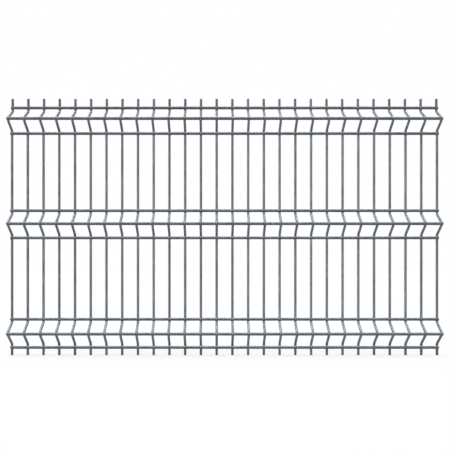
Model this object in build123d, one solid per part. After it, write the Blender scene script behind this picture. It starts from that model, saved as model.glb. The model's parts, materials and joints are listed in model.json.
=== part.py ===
from build123d import *
import os
from itertools import accumulate
from math import sqrt

# A welded mesh fence panel in bare galvanised wire: a row of upright wires, each bent into three
# V folds, and three straight cross wires welded over the front of every fold.
# X runs along the fence, Z is up and the folds point to -Y, the front. Sizes are in millimetres.

# Upright wires
UPRIGHT_COUNT = 28
UPRIGHT_PITCH = 50.0
UPRIGHT_DIAMETER = 8.0
INSIDE_BEND_RADIUS = 6.0

# Cross wires
CROSS_DIAMETER = 9.3
CROSS_OVERHANG = 2.0  # beyond the centre of the outermost upright
WELD_SET_DOWN = 1.0  # how far a weld presses the two wires together, shared by a flat on each

# Heights from the lower end upwards, each to the centre of the next cross wire
LOWER_END = 25.5
BOTTOM_FOLD_LOWER_HALF = 47.5
BOTTOM_FOLD_UPPER_HALF = 41.5
LOWER_FIELD = 257.5
MIDDLE_FOLD_LOWER_HALF = 42.5
MIDDLE_FOLD_UPPER_HALF = 43.5
UPPER_FIELD = 244.0
TOP_FOLD_LOWER_HALF = 39.0
TOP_FOLD_UPPER_HALF = 43.5
UPPER_END = 30.5

# Shape of the folds
FOLD_DEPTH = 40.0  # from the flat fields to the corner where the two legs of a fold would meet
FOLD_INSET = 10.5  # from the outer cross wire of a fold to the corner of its leg
TOP_SET_BACK = 5.5  # the strip above the top fold stands this far behind the fields

# The sheared ends of the wires, rounded off by the zinc
END_CHAMFER = 0.6

# Derived sizes
upright_radius = UPRIGHT_DIAMETER / 2
cross_radius = CROSS_DIAMETER / 2
bend_radius = INSIDE_BEND_RADIUS + upright_radius
flat_depth = WELD_SET_DOWN / 2
seat_width = 2 * sqrt(upright_radius**2 - (upright_radius - WELD_SET_DOWN) ** 2)
seat_height = 2 * sqrt(cross_radius**2 - (cross_radius - WELD_SET_DOWN) ** 2)
row_length = (UPRIGHT_COUNT - 1) * UPRIGHT_PITCH
cross_length = row_length + 2 * CROSS_OVERHANG
upright_places = [-row_length / 2 + i * UPRIGHT_PITCH for i in range(UPRIGHT_COUNT)]

folds = ("bottom", "middle", "top")
levels = list(
    accumulate(
        (
            LOWER_END,
            BOTTOM_FOLD_LOWER_HALF,
            BOTTOM_FOLD_UPPER_HALF,
            LOWER_FIELD,
            MIDDLE_FOLD_LOWER_HALF,
            MIDDLE_FOLD_UPPER_HALF,
            UPPER_FIELD,
            TOP_FOLD_LOWER_HALF,
            TOP_FOLD_UPPER_HALF,
            UPPER_END,
        )
    )
)
fold_levels = [levels[3 * i : 3 * i + 3] for i in range(len(folds))]
upper_end_level = levels[-1]


def centre_line():
    """Centre line of one upright from its lower to its upper end, with the fields in the plane y = 0."""
    points = [(0, 0, 0)]
    for lower, crest, upper in fold_levels:
        above = TOP_SET_BACK if upper == fold_levels[-1][-1] else 0
        points.append((0, 0, lower + FOLD_INSET))
        points.append((0, -FOLD_DEPTH, crest))
        points.append((0, above, upper - FOLD_INSET))
    points.append((0, TOP_SET_BACK, upper_end_level))
    return FilletPolyline(*points, radius=bend_radius)


def weld_places(line):
    """The (y, z) of the plane where each cross wire meets the uprights, by the cross wire's name."""
    crests = line.edges().filter_by(GeomType.CIRCLE).sort_by(Axis.Z)[1::3]
    places = {}
    for fold, (lower, _, upper), arc in zip(folds, fold_levels, crests):
        above = TOP_SET_BACK if fold == folds[-1] else 0
        places[f"{fold}_fold_lower_wire"] = (0, lower)
        places[f"{fold}_fold_crest_wire"] = (arc.arc_center.Y - bend_radius, arc.arc_center.Z)
        places[f"{fold}_fold_upper_wire"] = (above, upper)
    return {name: (y - upright_radius + flat_depth, z) for name, (y, z) in places.items()}


def upright(line, places):
    """One bent round wire with broken ends and a weld flat on its front under every cross wire."""
    section = Plane(origin=line @ 0, z_dir=line % 0) * Circle(upright_radius)
    wire = sweep(section, path=line)
    ends = wire.faces().sort_by(Axis.Z)
    wire = chamfer(ends[0].edges() + ends[-1].edges(), END_CHAMFER)
    in_front = (Align.CENTER, Align.MAX, Align.CENTER)
    pressed = Box(UPRIGHT_DIAMETER, UPRIGHT_DIAMETER, seat_height, align=in_front)
    return wire - [Pos(0, y, z) * pressed for y, z in places.values()]


def cross_wire(y, z):
    """One straight round wire with broken ends and a weld flat on its back over every upright."""
    bar = Cylinder(cross_radius, cross_length, rotation=(0, 90, 0))
    bar = chamfer(bar.faces().filter_by(Axis.X).edges(), END_CHAMFER)
    bar = Pos(0, y - cross_radius + flat_depth, z) * bar
    behind = (Align.CENTER, Align.MIN, Align.CENTER)
    pressed = Box(seat_width, CROSS_DIAMETER, CROSS_DIAMETER, align=behind)
    return bar - [Pos(x, y, z) * pressed for x in upright_places]


line = centre_line()
places = weld_places(line)

# The middle of the panel's whole depth is y = 0
front = min(y for y, _ in places.values()) + flat_depth - CROSS_DIAMETER
back = max(TOP_SET_BACK, 0) + upright_radius
to_middle = Pos(0, -(front + back) / 2, 0)

one_upright = upright(line, places)
nodes = {f"upright_{i + 1:02d}": Pos(x, 0, 0) * one_upright for i, x in enumerate(upright_places)}
nodes |= {name: cross_wire(y, z) for name, (y, z) in places.items()}

os.makedirs("parts", exist_ok=True)
for name, shape in nodes.items():
    export_step(to_middle * shape, f"parts/{name}.step")
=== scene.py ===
"""A welded mesh fence panel in bare galvanised wire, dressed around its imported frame. Metres."""

import json
import math
import random

import bmesh
import bpy
from mathutils import Matrix, Vector


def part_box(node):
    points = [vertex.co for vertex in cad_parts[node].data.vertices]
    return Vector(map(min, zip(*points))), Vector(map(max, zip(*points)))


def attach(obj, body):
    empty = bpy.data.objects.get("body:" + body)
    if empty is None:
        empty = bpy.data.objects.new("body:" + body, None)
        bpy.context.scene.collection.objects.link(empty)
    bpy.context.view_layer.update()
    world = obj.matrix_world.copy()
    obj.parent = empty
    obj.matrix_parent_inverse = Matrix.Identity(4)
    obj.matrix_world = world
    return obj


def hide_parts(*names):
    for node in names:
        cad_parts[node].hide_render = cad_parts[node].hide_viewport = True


bl_info = {
    "name": "Welded mesh fence panel",
    "version": (1, 0, 0),
    "blender": (4, 5, 0),
    "location": "View3D > Sidebar > Fence panel",
    "description": "Bent upright wires, straight cross wires and their welds, in galvanised steel",
    "category": "Object",
}

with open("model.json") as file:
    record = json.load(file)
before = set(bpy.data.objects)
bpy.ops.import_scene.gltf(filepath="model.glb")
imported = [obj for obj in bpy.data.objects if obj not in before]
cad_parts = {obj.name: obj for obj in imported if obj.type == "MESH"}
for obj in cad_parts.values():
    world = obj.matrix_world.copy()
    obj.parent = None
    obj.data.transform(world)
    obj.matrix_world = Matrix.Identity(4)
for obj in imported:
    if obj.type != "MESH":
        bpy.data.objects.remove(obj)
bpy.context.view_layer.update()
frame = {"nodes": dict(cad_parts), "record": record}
MM = 0.001
BODY = "root"
X_AXIS = 0
Z_AXIS = 2
SAME_PLACE = 1e-6

# Each wire keeps a tone on its vertices: 0 is the zinc's own colour, and 1 is a tenth lighter. On the free
# ends beyond the outermost cross wires the tone is lowered further as painted shade.
WIRE_TONE_AND_SHADE = "wire_tone_and_shade"
UPRIGHT_TONE_SPREAD = 1.2
CROSS_TONE_SPREAD = 0.4
FREE_END_PAINTED_SHADE = 2.5

# Sizes of the patterns in the zinc. The first two have a length along the wire and a width across it.
# Real drawing lines are nearer 0.1 mm wide and would not show, so they are drawn coarser.
MOTTLE_MM = (45.0, 9.0)
DRAWING_LINE_MM = (60.0, 0.9)
CRYSTAL_MM = 6.0
PEEL_MM = 2.5
PEEL_DEPTH_MM = 0.2

# How fine each noise goes: its layers of detail, and how much each layer keeps of the one before
MOTTLE_DETAIL = 3.0
DRAWING_LINE_DETAIL = 1.0
PEEL_DETAIL = 2.0
STREAK_ROUGHNESS = 0.6

# The range that each pattern's values run over, and what the two ends of it make of the zinc's colour
NOISE_RANGE = (0.3, 0.7)
CELL_RANGE = (0.0, 1.0)
WIRE_TONE_RANGE = (-4.0, 4.0)
MOTTLE_TONES = (0.8, 1.2)
DRAWING_LINE_TONES = (0.94, 1.06)
CRYSTAL_TONES = (0.87, 1.13)
WIRE_TONES = (0.6, 1.4)

# The gloss of dull zinc: roughness from crystal to crystal, the sheen of the skin and the orange peel
CRYSTAL_ROUGHNESS = (0.3, 0.46)
DULL_SPECULAR = 0.1
PEEL_STRENGTH = 0.2

# How the wires and the weld beads are drawn. The weld rings are shares of an electrode's reach, and
# beads differ in width, height and turn.
WIRES_IN_A_FOLD = 3
TIP_ROUNDS = 4
WELD_RINGS = (-1, -0.66, -0.33, 0, 0.33, 0.66, 1)
END_SEGMENTS = 3
BEAD_SIDES = 6
BEAD_STEPS = 10
BEAD_WIDTHS = (0.92, 1.04)
BEAD_HEIGHTS = (0.9, 1.1)
BEAD_TURN = 0.12
UPRIGHT_SEED = 28
CROSS_SEED = 9
BEAD_SEED = 7

# What the frame says of the panel: its wires and their places
MOUNTS = {mount["name"]: mount for mount in frame["record"]["mounts"]}
UPRIGHT_NODES = sorted(name for name in frame["nodes"] if name.startswith("upright_"))
CROSS_NODES = sorted(
    (name for name in frame["nodes"] if name.endswith("_wire")),
    key=lambda name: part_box(name)[0].z,
)
LOWER_END = Vector(MOUNTS["left_lower_end"]["pos_m"])

# The photograph's frame and where the panel stands in it, in pixels from its top left corner, and the
# camera's distance in metres
FRAME_PIXELS = 450
PITCH_PIXELS = 15.736
PANEL_CENTRE_PIXEL = 224.52
LOWER_END_PIXEL = 355.04
EYE_PIXEL = (213.5, 260.1)
CAMERA_DISTANCE = 1.724
SENSOR_WIDTH_MM = 36.0

# The studio: the floor's size in metres, and each lamp's strength in W/m2, width in degrees and colour,
# with the way that its light goes
WHITE = (1, 1, 1, 1)
FLOOR_SIZE = 24.0
OVERHEAD_LAMP = (3.0, 55, "#FCFEFF")
DOWN_AND_BACK = Vector((0.0, 0.2, -1.0))
LEFT_LAMP = (0.95, 60, "#FAFDFF")
TO_THE_RIGHT = Vector((0.9, 0.25, -0.35))
BACK_LAMP = (0.9, 60, "#FAFDFF")
TO_THE_FRONT = Vector((0.3, -0.85, -0.5))


def linear(code):
    """An sRGB hex colour as the linear values that shaders take."""
    parts = [int(code[i : i + 2], 16) / 255 for i in (1, 3, 5)]
    return [p / 12.92 if p <= 0.04045 else ((p + 0.055) / 1.055) ** 2.4 for p in parts]


def middle(node):
    """The middle of a CAD node's box."""
    low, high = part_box(node)
    return (low + high) / 2


def length(name, description, millimetres):
    """A length that a user would change, given in millimetres."""
    return bpy.props.FloatProperty(
        name=name, description=description, default=millimetres * MM, unit="LENGTH", precision=5
    )


def colour(name, description, code):
    """A colour that a user would change, given as an sRGB hex value."""
    return bpy.props.FloatVectorProperty(
        name=name, description=description, default=linear(code), subtype="COLOR", min=0, max=1
    )


def fraction(name, description, part):
    """A share from 0 to 1 that a user would change."""
    return bpy.props.FloatProperty(
        name=name, description=description, default=part, subtype="FACTOR", min=0, max=1
    )


class FenceSizes(bpy.types.PropertyGroup):
    """Sizes of the wires, folds and welds"""

    upright_diameter: length("Upright wire", "Diameter of the bent uprights", 8.0)
    cross_diameter: length("Cross wire", "Diameter of the straight cross wires", 9.3)
    inside_bend_radius: length("Inside bend", "Inside radius of every bend", 6.0)
    fold_depth: length("Fold depth", "Field plane to the corner where two legs meet", 40.0)
    fold_inset: length("Fold inset", "Outer cross wire of a fold to the corner of its leg", 10.5)
    weld_set_down: length("Set-down", "How far a weld presses two wires together", 1.0)
    sheared_end: length("Sheared end", "Rounding of the cut ends under the zinc", 0.6)
    electrode_dent: length("Electrode dent", "Depth of the flat that the electrode leaves", 0.4)
    electrode_reach: length("Electrode reach", "Half length of that flat along the wire", 5.0)
    bead: length("Weld bead", "Thickness of the metal squeezed out round a weld", 1.7)
    bead_reach: length("Bead reach", "Middle of a weld to its bead, across the upright", 2.8)
    bead_rise: length("Bead rise", "Middle of a weld to its bead, up the upright", 4.55)
    sides: bpy.props.IntProperty(name="Sides", description="Sides of a round wire", default=20, min=8)
    bend_steps: bpy.props.IntProperty(name="Bend steps", description="Rings in a bend", default=8, min=3)


class FenceColours(bpy.types.PropertyGroup):
    """Colours of the zinc and of the stage"""

    upright_zinc: colour("Upright zinc", "Zinc skin of the bent uprights", "#868F99")
    # Painted shade: the cross wires' zinc is set darker than the uprights', for their shaded fronts and
    # undersides
    shaded_cross_zinc: colour("Cross wire zinc", "Zinc skin of the straight cross wires", "#6D747C")
    weld_zinc: colour("Weld zinc", "Zinc over the rough weld beads", "#939CA4")
    bare_metal: fraction("Bare metal", "Share of bright metal in the dull zinc skin", 0.35)
    floor: colour("Floor", "Studio floor as the camera sees it", "#F4F4F4")
    floor_bounce: colour("Floor bounce", "What the floor throws back at the wires", "#ADA49B")
    floor_glow: fraction("Floor glow", "Share of plain white in the floor, over its shadows", 0.78)


def node(tree, kind, inputs=None, **settings):
    """Adds one node with its settings. An input is a value, or the socket that feeds it."""
    made = tree.nodes.new(kind)
    for name, value in settings.items():
        setattr(made, name, value)
    for socket, value in (inputs or {}).items():
        if isinstance(value, bpy.types.NodeSocket):
            tree.links.new(value, made.inputs[socket])
        else:
            made.inputs[socket].default_value = value
    return made


def galvanised_steel(name, along, zinc, bare_metal):
    """Drawn steel wire, hot-dip galvanised and left outdoors: a dull blue-grey skin of zinc crystals, each
    with a tone and a gloss of its own, mottled along the wire, with faint drawing lines and a fine orange
    peel that breaks up the highlight. No two wires in the row have quite the same tone."""
    material = bpy.data.materials.new(name)
    material.use_nodes = True
    tree = material.node_tree
    shader = tree.nodes["Principled BSDF"]
    place = node(tree, "ShaderNodeTexCoord").outputs["Object"]

    # Mottling and drawing lines are both stretched along the wire
    streaks = []
    for (long_mm, wide_mm), detail in (
        (MOTTLE_MM, MOTTLE_DETAIL),
        (DRAWING_LINE_MM, DRAWING_LINE_DETAIL),
    ):
        scale = [1 / (wide_mm * MM)] * 3
        scale[along] = 1 / (long_mm * MM)
        stretched = node(tree, "ShaderNodeMapping", {"Vector": place, "Scale": scale})
        streak = node(
            tree,
            "ShaderNodeTexNoise",
            {
                "Vector": stretched.outputs[0],
                "Scale": 1.0,
                "Detail": detail,
                "Roughness": STREAK_ROUGHNESS,
            },
        )
        streaks.append(streak.outputs["Fac"])
    mottle, lines = streaks

    # Zinc sets in crystals. A cell's random colour gives one number for its tone and one for its gloss.
    crystals = node(tree, "ShaderNodeTexVoronoi", {"Vector": place, "Scale": 1 / (CRYSTAL_MM * MM)})
    crystal = node(tree, "ShaderNodeSeparateColor", {"Color": crystals.outputs["Color"]}).outputs

    # The zinc's colour is multiplied by each of these in turn
    # The tone on the vertices: each wire's random tone, with painted shade on its free ends
    wire = node(tree, "ShaderNodeAttribute", attribute_name=WIRE_TONE_AND_SHADE).outputs["Fac"]
    tone = None
    for value, (low, high), (least, most) in (
        (mottle, NOISE_RANGE, MOTTLE_TONES),
        (lines, NOISE_RANGE, DRAWING_LINE_TONES),
        (crystal["Red"], CELL_RANGE, CRYSTAL_TONES),
        (wire, WIRE_TONE_RANGE, WIRE_TONES),
    ):
        share = node(
            tree,
            "ShaderNodeMapRange",
            {"Value": value, "From Min": low, "From Max": high, "To Min": least, "To Max": most},
        ).outputs["Result"]
        if tone:
            share = node(tree, "ShaderNodeMath", {0: tone, 1: share}, operation="MULTIPLY").outputs[0]
        tone = share
    skin = node(tree, "ShaderNodeVectorMath", {0: list(zinc), "Scale": tone}, operation="SCALE")
    least, most = CRYSTAL_ROUGHNESS
    dull = node(
        tree, "ShaderNodeMapRange", {"Value": crystal["Green"], "To Min": least, "To Max": most}
    )
    peel = node(
        tree,
        "ShaderNodeTexNoise",
        {"Vector": place, "Scale": 1 / (PEEL_MM * MM), "Detail": PEEL_DETAIL},
    )
    bump = node(
        tree,
        "ShaderNodeBump",
        {"Height": peel.outputs["Fac"], "Strength": PEEL_STRENGTH, "Distance": PEEL_DEPTH_MM * MM},
    )
    tree.links.new(skin.outputs["Vector"], shader.inputs["Base Color"])
    tree.links.new(dull.outputs["Result"], shader.inputs["Roughness"])
    tree.links.new(bump.outputs["Normal"], shader.inputs["Normal"])
    shader.inputs["Metallic"].default_value = bare_metal
    shader.inputs["Specular IOR Level"].default_value = DULL_SPECULAR
    return material


def add_piece(bm, name, material, tone, replaced=None):
    """Makes one piece of the panel from a bmesh, which it frees. It has one tone, and on the free ends
    beyond the outermost cross wires a lower one, which is painted shade."""
    bmesh.ops.recalc_face_normals(bm, faces=bm.faces)
    layer = bm.verts.layers.float.new(WIRE_TONE_AND_SHADE)
    lowest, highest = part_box(CROSS_NODES[0])[0].z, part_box(CROSS_NODES[-1])[1].z
    for vert in bm.verts:
        # Painted shade: the free ends are darkened below the wire's own tone
        vert[layer] = tone if lowest < vert.co.z < highest else tone - FREE_END_PAINTED_SHADE
    mesh = bpy.data.meshes.new(name)
    bm.to_mesh(mesh)
    bm.free()
    mesh.shade_smooth()
    mesh.materials.append(material)
    piece = bpy.data.objects.new(name, mesh)
    bpy.context.scene.collection.objects.link(piece)
    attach(piece, BODY)
    if replaced:
        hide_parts(replaced)
    return piece


def first_ring(bm, radius, sides, place, turn):
    """The section of a round wire at its first end, as a ring of edges."""
    matrix = Matrix.Translation(place) @ turn.to_4x4()
    made = bmesh.ops.create_circle(bm, segments=sides, radius=radius, matrix=matrix)
    return list({edge for vert in made["verts"] for edge in vert.link_edges})


def draw_on(bm, ring, step):
    """Draws the wire straight on by one step and returns its new ring."""
    made = bmesh.ops.extrude_edge_only(bm, edges=ring)["geom"]
    verts = {item for item in made if isinstance(item, bmesh.types.BMVert)}
    bmesh.ops.translate(bm, verts=list(verts), vec=step)
    return [e for e in made if isinstance(e, bmesh.types.BMEdge) and verts.issuperset(e.verts)]


def bend_on(bm, ring, centre, axis, angle, steps):
    """Bends the wire on round an axis and returns its new ring."""
    verts = {vert for edge in ring for vert in edge.verts}
    made = bmesh.ops.spin(
        bm, geom=[*ring, *verts], cent=centre, axis=axis, angle=angle, steps=steps, use_duplicate=False
    )
    return [item for item in made["geom_last"] if isinstance(item, bmesh.types.BMEdge)]


def close_ends(bm, rounding):
    """Caps the two open ends of a wire and rounds their rims."""
    rims = [edge for edge in bm.edges if edge.is_boundary]
    caps = bmesh.ops.holes_fill(bm, edges=rims, sides=0)["faces"]
    rims = list({edge for cap in caps for edge in cap.edges})
    bmesh.ops.bevel(
        bm,
        geom=rims,
        offset=rounding,
        segments=END_SEGMENTS,
        profile=0.5,
        affect="EDGES",
        material=-1,
    )


def arc_of_corner(before, corner, after, radius):
    """Where a bend at a corner starts and ends, and the centre, axis and angle it turns by."""
    into = (corner - before).normalized()
    out = (after - corner).normalized()
    angle = into.angle(out)
    reach = radius * math.tan(angle / 2)
    inward = (out - into * into.dot(out)).normalized()
    start = corner - into * reach
    return start, corner + out * reach, start + inward * radius, into.cross(inward), angle


def upright_corners(sizes):
    """Corners of an upright's centre line, from its lower to its upper end, at x = 0."""
    radius = sizes.inside_bend_radius + sizes.upright_diameter / 2
    field = LOWER_END.y
    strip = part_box(UPRIGHT_NODES[0])[1].y - sizes.upright_diameter / 2
    corners = [Vector((0, field, LOWER_END.z))]
    for i in range(0, len(CROSS_NODES), WIRES_IN_A_FOLD):
        fold = CROSS_NODES[i : i + WIRES_IN_A_FOLD]
        lower, crest, upper = (middle(name).z for name in fold)
        above = strip if fold[-1] == CROSS_NODES[-1] else field
        low = Vector((0, field, lower + sizes.fold_inset))
        high = Vector((0, above, upper - sizes.fold_inset))
        tip = Vector((0, field - sizes.fold_depth, crest))
        # The crest wire lies on the foremost point of the bend, so the corner moves until it does
        for _ in range(TIP_ROUNDS):
            tip.z += crest - arc_of_corner(low, tip, high, radius)[2].z
        corners += [low, tip, high]
    corners.append(Vector((0, corners[-1].y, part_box(UPRIGHT_NODES[0])[1].z)))
    return corners


def weld_rings(centre, reach):
    """Places of the rings that shape the wire on both sides of a weld."""
    return [centre + reach * share for share in WELD_RINGS]


def bent_upright(sizes):
    """One upright wire at x = 0: straight runs and bends, with the electrode's marks on its back."""
    radius = sizes.upright_diameter / 2
    bend_radius = sizes.inside_bend_radius + radius
    corners = upright_corners(sizes)
    flat_welds = [middle(name).z for name in CROSS_NODES if "crest" not in name]
    stops = [z for weld in flat_welds for z in weld_rings(weld, sizes.electrode_reach)]
    bm = bmesh.new()
    ring = first_ring(bm, radius, sizes.sides, corners[0], Matrix.Identity(3))
    here = corners[0]
    for before, corner, after in zip(corners, corners[1:], corners[2:]):
        start, end, centre, axis, angle = arc_of_corner(before, corner, after, bend_radius)
        ring = straight_run(bm, ring, here, start, stops)
        ring = bend_on(bm, ring, centre, axis, angle, sizes.bend_steps)
        here = end
    straight_run(bm, ring, here, corners[-1], stops)
    close_ends(bm, sizes.sheared_end)
    for vert in bm.verts:
        for weld in flat_welds:
            share = abs(vert.co.z - weld) / sizes.electrode_reach
            if share < 1:
                plane = corners[-1].y if weld == flat_welds[-1] else corners[0].y
                limit = plane + radius - sizes.electrode_dent * (1 - share**2)
                vert.co.y = min(vert.co.y, limit)
    return bm


def straight_run(bm, ring, here, there, stops):
    """Draws the wire from here to there, with a ring at each stop on a vertical stretch between them."""
    upright = abs(here.y - there.y) < SAME_PLACE
    between = [z for z in sorted(stops) if here.z < z < there.z] if upright else []
    for point in [Vector((here.x, here.y, z)) for z in between] + [there]:
        ring = draw_on(bm, ring, point - here)
        here = point
    return ring


class FENCE_OT_uprights(bpy.types.Operator):
    """Draw and bend the upright wires"""

    bl_idname = "fence.uprights"
    bl_label = "Upright wires"

    def execute(self, context):
        sizes = context.scene.fence_sizes
        colours = context.scene.fence_colours
        material = galvanised_steel(
            "galvanised_upright_wire", Z_AXIS, colours.upright_zinc, colours.bare_metal
        )
        pattern = bent_upright(sizes)
        chance = random.Random(UPRIGHT_SEED)
        for name in UPRIGHT_NODES:
            bm = pattern.copy()
            bmesh.ops.translate(bm, verts=bm.verts, vec=(middle(name).x, 0, 0))
            tone = chance.uniform(-UPRIGHT_TONE_SPREAD, UPRIGHT_TONE_SPREAD)
            add_piece(bm, f"galvanised_{name}", material, tone, name)
        pattern.free()
        return {"FINISHED"}


def straight_cross_wire(sizes, name):
    """One cross wire, with the electrode's marks on its front where it crosses the uprights."""
    low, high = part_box(name)
    centre = (low + high) / 2
    crossings = [middle(upright).x for upright in UPRIGHT_NODES]
    stops = [x for crossing in crossings for x in weld_rings(crossing, sizes.electrode_reach)]
    # No ring falls in the rounding of the ends
    clear = 2 * sizes.sheared_end
    stops = sorted(x for x in stops if low.x + clear < x < high.x - clear)
    bm = bmesh.new()
    here = Vector((low.x, centre.y, centre.z))
    turn = Matrix.Rotation(math.pi / 2, 3, "Y")
    radius = sizes.cross_diameter / 2
    ring = first_ring(bm, radius, sizes.sides, here, turn)
    for x in [*stops, high.x]:
        ring = draw_on(bm, ring, Vector((x - here.x, 0, 0)))
        here.x = x
    close_ends(bm, sizes.sheared_end)
    for vert in bm.verts:
        share = min(abs(vert.co.x - crossing) for crossing in crossings) / sizes.electrode_reach
        if share < 1:
            limit = centre.y - radius + sizes.electrode_dent * (1 - share**2)
            vert.co.y = max(vert.co.y, limit)
    return bm


class FENCE_OT_cross_wires(bpy.types.Operator):
    """Draw the straight cross wires"""

    bl_idname = "fence.cross_wires"
    bl_label = "Cross wires"

    def execute(self, context):
        sizes = context.scene.fence_sizes
        colours = context.scene.fence_colours
        # This zinc holds painted shade: it is darker than the uprights' zinc
        material = galvanised_steel(
            "galvanised_cross_wire", X_AXIS, colours.shaded_cross_zinc, colours.bare_metal
        )
        chance = random.Random(CROSS_SEED)
        for name in CROSS_NODES:
            bm = straight_cross_wire(sizes, name)
            tone = chance.uniform(-CROSS_TONE_SPREAD, CROSS_TONE_SPREAD)
            add_piece(bm, f"galvanised_{name}", material, tone, name)
        return {"FINISHED"}


def weld_bead(sizes):
    """The collar of metal squeezed out round one weld. It is saddle-shaped, so that it follows both
    wires: its sides lie back along the upright and its top and bottom lie forward on the cross wire."""
    bm = bmesh.new()
    made = bmesh.ops.create_circle(bm, segments=BEAD_SIDES, radius=sizes.bead / 2)
    bmesh.ops.translate(bm, verts=made["verts"], vec=(sizes.bead_reach, 0, 0))
    bmesh.ops.spin(
        bm,
        geom=[*bm.verts, *bm.edges],
        cent=(0, 0, 0),
        axis=(0, 1, 0),
        angle=math.tau,
        steps=BEAD_STEPS,
        use_merge=True,
        use_duplicate=False,
    )
    bmesh.ops.remove_doubles(bm, verts=bm.verts, dist=SAME_PLACE)
    for vert in bm.verts:
        angle = math.atan2(vert.co.z, vert.co.x)
        vert.co.z *= sizes.bead_rise / sizes.bead_reach
        vert.co.y += sizes.weld_set_down * math.cos(2 * angle)
    return bm


class FENCE_OT_welds(bpy.types.Operator):
    """Set a bead round every weld"""

    bl_idname = "fence.welds"
    bl_label = "Weld beads"

    def execute(self, context):
        sizes = context.scene.fence_sizes
        colours = context.scene.fence_colours
        material = galvanised_steel("galvanised_weld", X_AXIS, colours.weld_zinc, colours.bare_metal)
        chance = random.Random(BEAD_SEED)
        pattern = bpy.data.meshes.new("weld_bead")
        one = weld_bead(sizes)
        one.to_mesh(pattern)
        one.free()
        for name in CROSS_NODES:
            wire = middle(name)
            plane = wire.y + sizes.cross_diameter / 2 - sizes.weld_set_down / 2
            bm = bmesh.new()
            for upright in UPRIGHT_NODES:
                before = set(bm.verts)
                bm.from_mesh(pattern)
                new = [vert for vert in bm.verts if vert not in before]
                turn = Matrix.Rotation(chance.uniform(-BEAD_TURN, BEAD_TURN), 4, "Y")
                width = chance.uniform(*BEAD_WIDTHS)
                height = chance.uniform(*BEAD_HEIGHTS)
                size = Matrix.Diagonal((width, 1, height, 1))
                place = Matrix.Translation((middle(upright).x, plane, wire.z))
                bmesh.ops.transform(bm, matrix=place @ turn @ size, verts=new)
            add_piece(bm, f"welds_on_{name}", material, 0)
        bpy.data.meshes.remove(pattern)
        return {"FINISHED"}


def background_rays(tree):
    """1 for the rays that show the background: those of the camera, of gloss and of glass."""
    path = node(tree, "ShaderNodeLightPath")
    seen = path.outputs["Is Camera Ray"]
    for kind in ("Is Glossy Ray", "Is Transmission Ray"):
        either = node(tree, "ShaderNodeMath", {0: seen, 1: path.outputs[kind]}, operation="MAXIMUM")
        seen = either.outputs["Value"]
    return seen


def studio_floor(colours):
    """A pale floor that the camera and gloss see as white, with the panel's shadow kept in it."""
    bm = bmesh.new()
    bmesh.ops.create_grid(bm, x_segments=1, y_segments=1, size=FLOOR_SIZE / 2)
    mesh = bpy.data.meshes.new("studio_floor")
    bm.to_mesh(mesh)
    bm.free()
    material = bpy.data.materials.new("studio_floor")
    material.use_nodes = True
    tree = material.node_tree
    tree.nodes.clear()
    lit = node(tree, "ShaderNodeBsdfDiffuse", {"Color": (*colours.floor, 1)})
    white = node(tree, "ShaderNodeEmission", {"Color": WHITE, "Strength": 1.0})
    shown = node(
        tree,
        "ShaderNodeMixShader",
        {"Fac": colours.floor_glow, 1: lit.outputs[0], 2: white.outputs[0]},
    )
    bounce = node(tree, "ShaderNodeBsdfDiffuse", {"Color": (*colours.floor_bounce, 1)})
    surface = node(
        tree,
        "ShaderNodeMixShader",
        {"Fac": background_rays(tree), 1: bounce.outputs[0], 2: shown.outputs[0]},
    )
    node(tree, "ShaderNodeOutputMaterial", {"Surface": surface.outputs[0]})
    mesh.materials.append(material)
    floor = bpy.data.objects.new("studio_floor", mesh)
    bpy.context.scene.collection.objects.link(floor)
    return floor


def studio_light(floor):
    """A white surround for the camera and for gloss, and broad soft lamps overhead, to the left and
    behind. The photograph shows no shadow of one wire on another, so the lamp overhead casts none on
    the wires. Its twin lights the floor alone and keeps the panel's shadow there."""
    scene = bpy.context.scene
    world = bpy.data.worlds.new("studio")
    scene.world = world
    world.use_nodes = True
    tree = world.node_tree
    tree.nodes.clear()
    white = node(tree, "ShaderNodeBackground", {"Color": WHITE, "Strength": background_rays(tree)})
    node(tree, "ShaderNodeOutputWorld", {"Surface": white.outputs[0]})
    receivers = {}
    for name, state in (("all_but_floor", "EXCLUDE"), ("floor_alone", "INCLUDE")):
        receivers[name] = bpy.data.collections.new(name)
        receivers[name].objects.link(floor)
        receivers[name].collection_objects[0].light_linking.link_state = state
    for name, (energy, spread, code), toward, lit, shadow in (
        ("overhead_on_wires", OVERHEAD_LAMP, DOWN_AND_BACK, "all_but_floor", False),
        ("overhead_on_floor", OVERHEAD_LAMP, DOWN_AND_BACK, "floor_alone", True),
        ("left_softbox", LEFT_LAMP, TO_THE_RIGHT, None, True),
        ("back_softbox", BACK_LAMP, TO_THE_FRONT, None, True),
    ):
        lamp = bpy.data.lights.new(name, "SUN")
        lamp.energy = energy
        lamp.color = linear(code)
        lamp.angle = math.radians(spread)
        # Importance sampling would bring the missing shadows back in the gloss
        lamp.use_shadow = shadow
        lamp.cycles.use_multiple_importance_sampling = shadow
        holder = bpy.data.objects.new(name, lamp)
        holder.rotation_mode = "QUATERNION"
        holder.rotation_quaternion = toward.to_track_quat("-Z", "Y")
        holder.light_linking.receiver_collection = receivers.get(lit)
        scene.collection.objects.link(holder)


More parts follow.
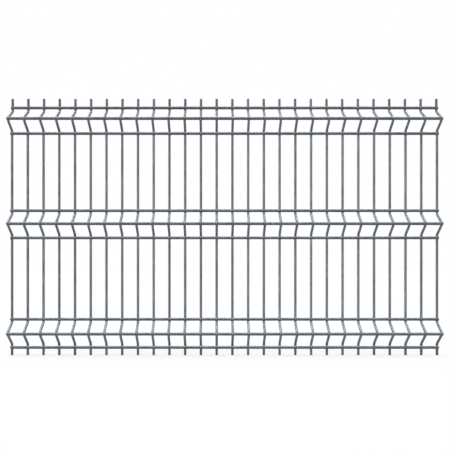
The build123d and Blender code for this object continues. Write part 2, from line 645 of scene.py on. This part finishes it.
def studio_camera():
    """A level camera square to the panel, framed as the photograph is."""
    pitch = middle(UPRIGHT_NODES[1]).x - middle(UPRIGHT_NODES[0]).x
    metres_per_pixel = pitch / PITCH_PIXELS
    across, down = EYE_PIXEL
    data = bpy.data.cameras.new("photograph_view")
    data.sensor_width = SENSOR_WIDTH_MM
    data.lens = SENSOR_WIDTH_MM * CAMERA_DISTANCE / (metres_per_pixel * FRAME_PIXELS)
    data.shift_x = 0.5 - across / FRAME_PIXELS
    data.shift_y = down / FRAME_PIXELS - 0.5
    camera = bpy.data.objects.new("photograph_view", data)
    camera.location = (
        (across - PANEL_CENTRE_PIXEL) * metres_per_pixel,
        LOWER_END.y - CAMERA_DISTANCE,
        (LOWER_END_PIXEL - down) * metres_per_pixel,
    )
    camera.rotation_euler = (math.pi / 2, 0, 0)
    bpy.context.scene.collection.objects.link(camera)
    bpy.context.scene.camera = camera


class FENCE_OT_stage(bpy.types.Operator):
    """Lay the floor and set the light and the camera"""

    bl_idname = "fence.stage"
    bl_label = "Stage"

    def execute(self, context):
        context.scene.view_settings.view_transform = "Standard"
        floor = studio_floor(context.scene.fence_colours)
        studio_light(floor)
        studio_camera()
        return {"FINISHED"}


class FENCE_PT_panel(bpy.types.Panel):
    """The fence panel's steps, sizes and colours"""

    bl_idname = "FENCE_PT_panel"
    bl_label = "Fence panel"
    bl_space_type = "VIEW_3D"
    bl_region_type = "UI"
    bl_category = "Fence panel"

    def draw(self, context):
        for operator in OPERATORS:
            self.layout.operator(operator.bl_idname)
        for group in (context.scene.fence_sizes, context.scene.fence_colours):
            for name in group.__annotations__:
                self.layout.prop(group, name)


OPERATORS = (FENCE_OT_uprights, FENCE_OT_cross_wires, FENCE_OT_welds, FENCE_OT_stage)
CLASSES = (FenceSizes, FenceColours, *OPERATORS, FENCE_PT_panel)


def register():
    for cls in CLASSES:
        bpy.utils.register_class(cls)
    bpy.types.Scene.fence_sizes = bpy.props.PointerProperty(type=FenceSizes)
    bpy.types.Scene.fence_colours = bpy.props.PointerProperty(type=FenceColours)


def unregister():
    del bpy.types.Scene.fence_colours
    del bpy.types.Scene.fence_sizes
    for cls in reversed(CLASSES):
        bpy.utils.unregister_class(cls)


def main():
    register()
    bpy.ops.fence.uprights()
    bpy.ops.fence.cross_wires()
    bpy.ops.fence.welds()
    bpy.ops.fence.stage()


if __name__ == "__main__":
    main()
